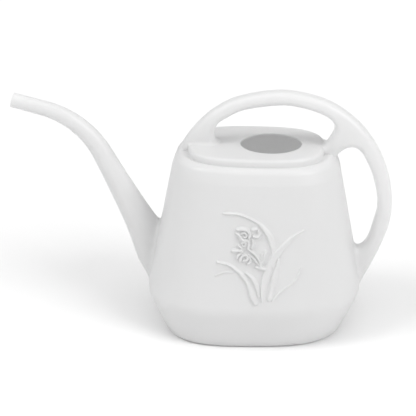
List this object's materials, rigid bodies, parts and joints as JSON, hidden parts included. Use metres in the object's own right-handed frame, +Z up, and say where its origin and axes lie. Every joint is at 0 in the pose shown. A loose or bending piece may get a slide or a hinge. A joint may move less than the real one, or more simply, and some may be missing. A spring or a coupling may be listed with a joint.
{
  "type": "watering can",
  "caption": "Hollow moulded plastic watering can with a long thin upswept spout, a looped carrying handle, a round fill hole and a raised flower on the sides.",
  "frame": {"origin": "middle of the face that the can stands on, under the middle of the tank", "axes": "+Z up, +X from the spout towards the handle, the mould's parting plane is y = 0"},
  "size_m": [0.3165, 0.1454, 0.2015],
  "materials": {
    "body_plastic": "satin white moulded polyethylene"
  },
  "bodies": {
    "root": {"tank_base": "body_plastic", "tank_wall": "body_plastic", "tank_deck": "body_plastic", "spout_tip": "body_plastic", "spout_tube": "body_plastic", "spout_root": "body_plastic", "handle_front_leg": "body_plastic", "handle_grip": "body_plastic", "handle_bridge": "body_plastic", "handle_rear_leg": "body_plastic", "handle_rear_root": "body_plastic", "front_leaves": "body_plastic", "front_flower": "body_plastic", "back_leaves": "body_plastic", "back_flower": "body_plastic"}
  },
  "joints": []
}
